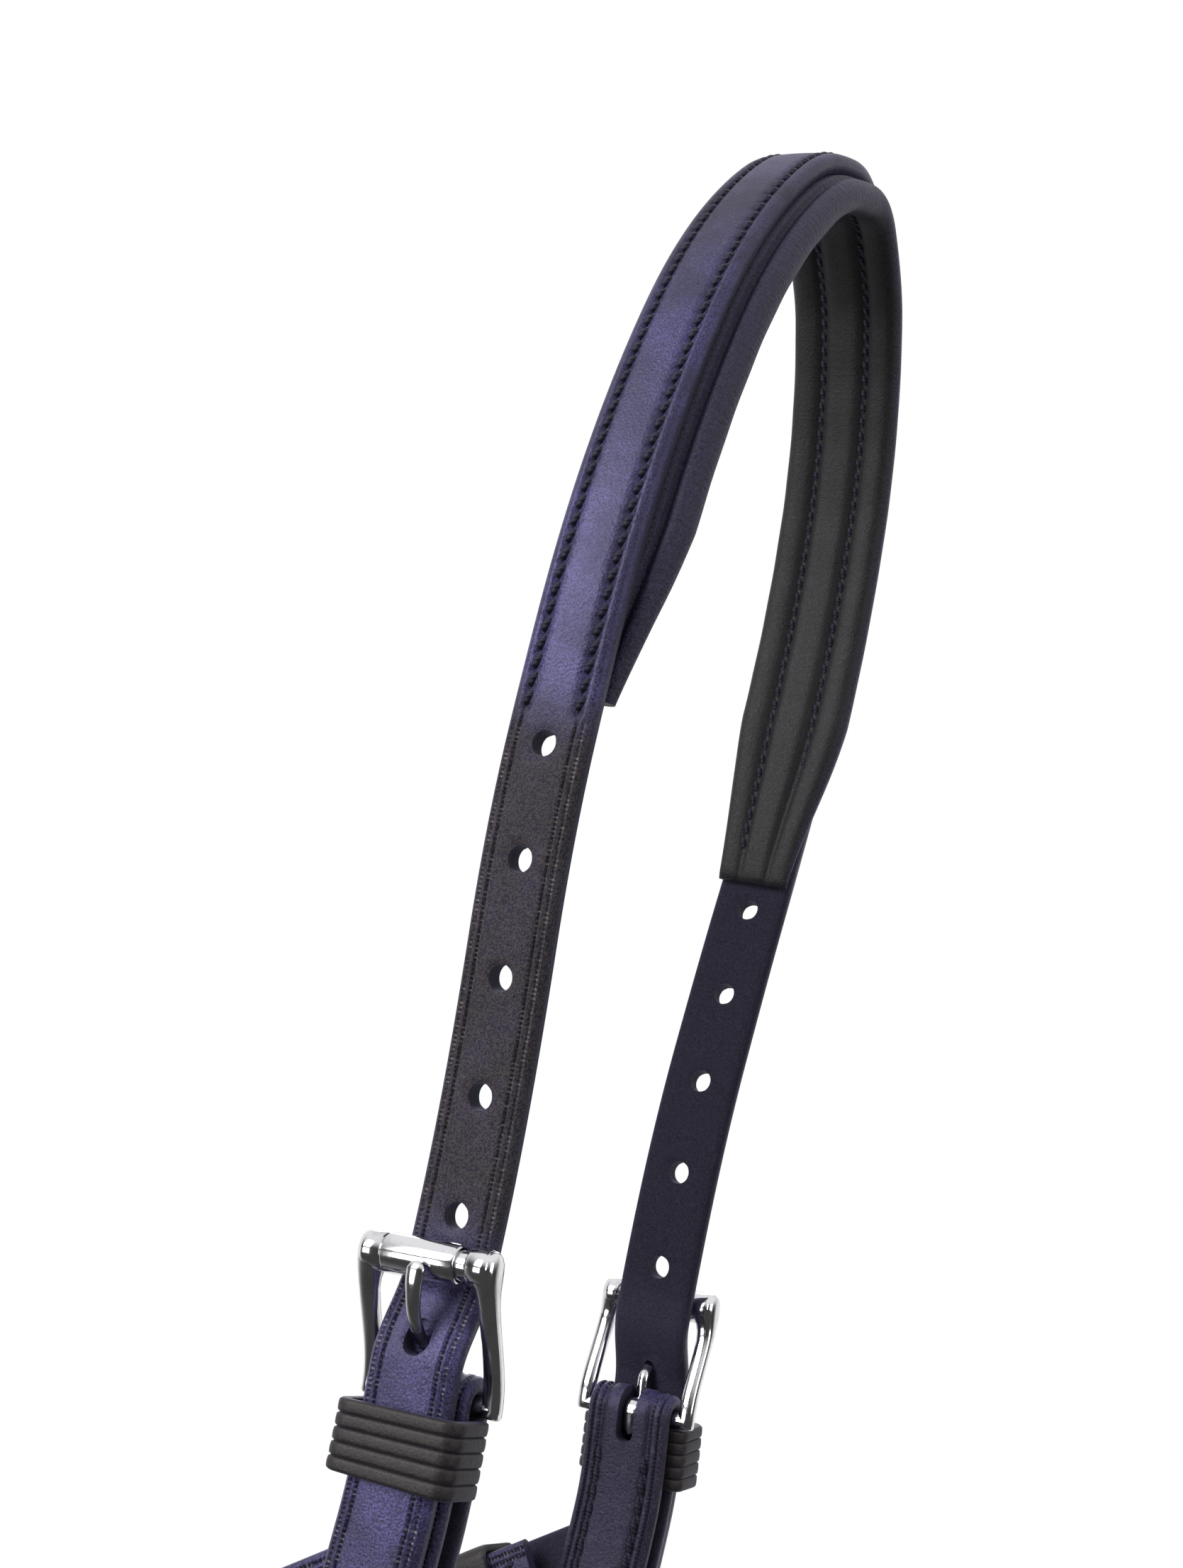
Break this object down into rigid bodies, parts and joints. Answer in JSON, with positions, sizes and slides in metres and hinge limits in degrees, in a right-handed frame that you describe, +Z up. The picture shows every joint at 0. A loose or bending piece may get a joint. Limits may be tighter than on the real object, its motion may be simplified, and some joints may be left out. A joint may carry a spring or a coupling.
{
  "type": "chain cavesson",
  "caption": "Leather training headcollar: padded crown strap, roller-buckled cheek straps, jowl and chin straps, and a noseband with a steel link chain and swinging rings.",
  "frame": {"origin": "underside of the crown pad at the top of its arch, where the horse's poll bears it", "axes": "+Z up, +X forward to the nose, +Y to the horse's left"},
  "size_m": [0.2755, 0.1633, 0.5363],
  "materials": {
    "leather": "black bridle leather, smooth and lightly waxed",
    "lining": "soft black lining leather over padding",
    "steel": "polished stainless steel"
  },
  "bodies": {
    "headpiece": {"crown_pad": "lining", "crown_strap": "leather", "jowl_buckle": "steel", "jowl_chape": "leather", "jowl_keeper": "leather", "jowl_strap": "leather", "left_cheek_buckle": "steel", "left_cheek_keeper": "leather", "left_cheek_strap": "leather", "right_cheek_buckle": "steel", "right_cheek_keeper": "leather", "right_cheek_strap": "leather"},
    "noseband": {"chain_link_01": "steel", "chain_link_02": "steel", "chain_link_03": "steel", "chain_link_04": "steel", "chain_link_05": "steel", "chain_link_06": "steel", "chain_link_07": "steel", "chain_link_08": "steel", "chain_link_09": "steel", "chain_link_10": "steel", "chain_link_11": "steel", "chain_loop_1": "leather", "chain_loop_2": "leather", "chain_loop_3": "leather", "chain_loop_4": "leather", "chin_buckle": "steel", "chin_chape": "leather", "chin_keeper": "leather", "chin_strap": "leather", "front_ring_staple": "steel", "left_cheek_ring": "steel", "left_ring_staple": "steel", "nose_band": "leather", "nose_pad": "lining", "right_cheek_ring": "steel", "right_ring_staple": "steel"},
    "right_cheek_roller": {"right_cheek_roller": "steel"},
    "right_cheek_tongue": {"right_cheek_tongue": "steel"},
    "left_cheek_roller": {"left_cheek_roller": "steel"},
    "left_cheek_tongue": {"left_cheek_tongue": "steel"},
    "jowl_roller": {"jowl_roller": "steel"},
    "jowl_tongue": {"jowl_tongue": "steel"},
    "jowl_runner": {"jowl_runner": "leather"},
    "chin_roller": {"chin_roller": "steel"},
    "chin_tongue": {"chin_tongue": "steel"},
    "right_nose_ring": {"right_nose_ring": "steel"},
    "front_nose_ring": {"front_nose_ring": "steel"},
    "left_nose_ring": {"left_nose_ring": "steel"}
  },
  "joints": [
    {"name": "right_cheek_roller_spin", "type": "hinge", "parent": "headpiece", "child": "right_cheek_roller", "pos_m": [-0.00244, -0.05079, -0.27648], "axis": [-0.9953, 0.0036, -0.0965], "continuous": true},
    {"name": "right_cheek_tongue_lift", "type": "hinge", "parent": "headpiece", "child": "right_cheek_tongue", "pos_m": [0.00129, -0.03973, -0.302], "axis": [0.9953, -0.0036, 0.0965], "range_deg": [0, 2]},
    {"name": "left_cheek_roller_spin", "type": "hinge", "parent": "headpiece", "child": "left_cheek_roller", "pos_m": [-0.00006, 0.07252, -0.27485], "axis": [0.9954, -0.0147, 0.0944], "continuous": true},
    {"name": "left_cheek_tongue_lift", "type": "hinge", "parent": "headpiece", "child": "left_cheek_tongue", "pos_m": [0.00129, 0.06776, -0.30248], "axis": [-0.9954, 0.0147, -0.0944], "range_deg": [0, 2]},
    {"name": "jowl_roller_spin", "type": "hinge", "parent": "headpiece", "child": "jowl_roller", "pos_m": [-0.06786, 0.07708, -0.3866], "axis": [-0.585, 0, 0.8111], "continuous": true},
    {"name": "jowl_tongue_lift", "type": "hinge", "parent": "headpiece", "child": "jowl_tongue", "pos_m": [-0.04566, 0.06717, -0.37207], "axis": [0.585, 0, -0.8111], "range_deg": [0, 2]},
    {"name": "chin_roller_spin", "type": "hinge", "parent": "noseband", "child": "chin_roller", "pos_m": [-0.07583, 0.08099, -0.48641], "axis": [-0.309, 0, 0.9511], "continuous": true},
    {"name": "chin_tongue_lift", "type": "hinge", "parent": "noseband", "child": "chin_tongue", "pos_m": [-0.05026, 0.07109, -0.47936], "axis": [0.309, 0, -0.9511], "range_deg": [0, 2]},
    {"name": "jowl_runner_slide", "type": "slide", "parent": "headpiece", "child": "jowl_runner", "axis": [-0.8111, 0, -0.585], "range_m": [-0.005, 0.003]},
    {"name": "noseband_swing", "type": "hinge", "parent": "headpiece", "child": "noseband", "pos_m": [0.003, 0.016, -0.46205], "axis": [0, -1, 0], "range_deg": [0, 25]},
    {"name": "right_nose_ring_swing", "type": "hinge", "parent": "noseband", "child": "right_nose_ring", "pos_m": [0.06864, -0.05499, -0.4626], "axis": [-0.9343, -0.3566, 0], "range_deg": [-10, 150]},
    {"name": "front_nose_ring_swing", "type": "hinge", "parent": "noseband", "child": "front_nose_ring", "pos_m": [0.11334, 0.016, -0.4626], "axis": [0, -1, 0], "range_deg": [-10, 150]},
    {"name": "left_nose_ring_swing", "type": "hinge", "parent": "noseband", "child": "left_nose_ring", "pos_m": [0.06864, 0.08699, -0.4626], "axis": [0.9343, -0.3566, 0], "range_deg": [-10, 150]}
  ]
}
